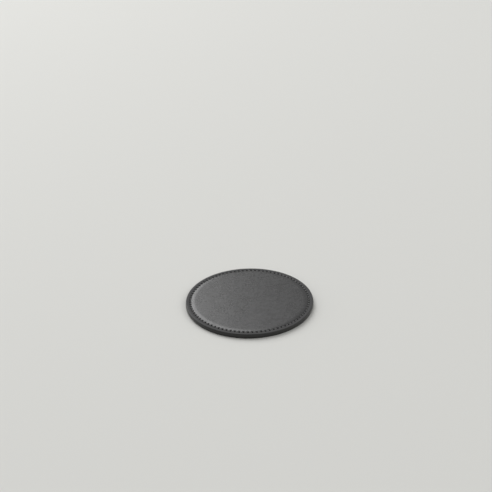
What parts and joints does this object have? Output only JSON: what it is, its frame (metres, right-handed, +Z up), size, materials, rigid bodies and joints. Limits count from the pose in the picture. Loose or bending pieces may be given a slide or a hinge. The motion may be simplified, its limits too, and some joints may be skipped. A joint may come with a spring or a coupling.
{
  "type": "drink coaster",
  "caption": "Round flat drink coaster: black leather bonded and lockstitched to a stiffening board, with a painted edge. A glass stands on its face.",
  "frame": {"origin": "middle of the underside, on the surface that the coaster lies on", "axes": "+Z up, square to the face; the coaster is round, so X and Y only fix the first needle hole, near -Y"},
  "size_m": [0.1, 0.1, 0.004],
  "materials": {
    "face_leather": "smooth black, soft sheen, fine grain",
    "back_leather": "black, matt, fine grain",
    "board": "brown leather-fibre board, matt",
    "glue": "dried contact glue, satin",
    "thread": "charcoal grey bonded sewing thread, slight shine",
    "edge_paint": "black edge paint, satin"
  },
  "bodies": {
    "root": {"face_leather": "face_leather", "face_glue": "glue", "core_board": "board", "back_glue": "glue", "back_leather": "back_leather", "edge_coat": "edge_paint", "needle_thread": "thread", "bobbin_thread": "thread"}
  },
  "joints": []
}
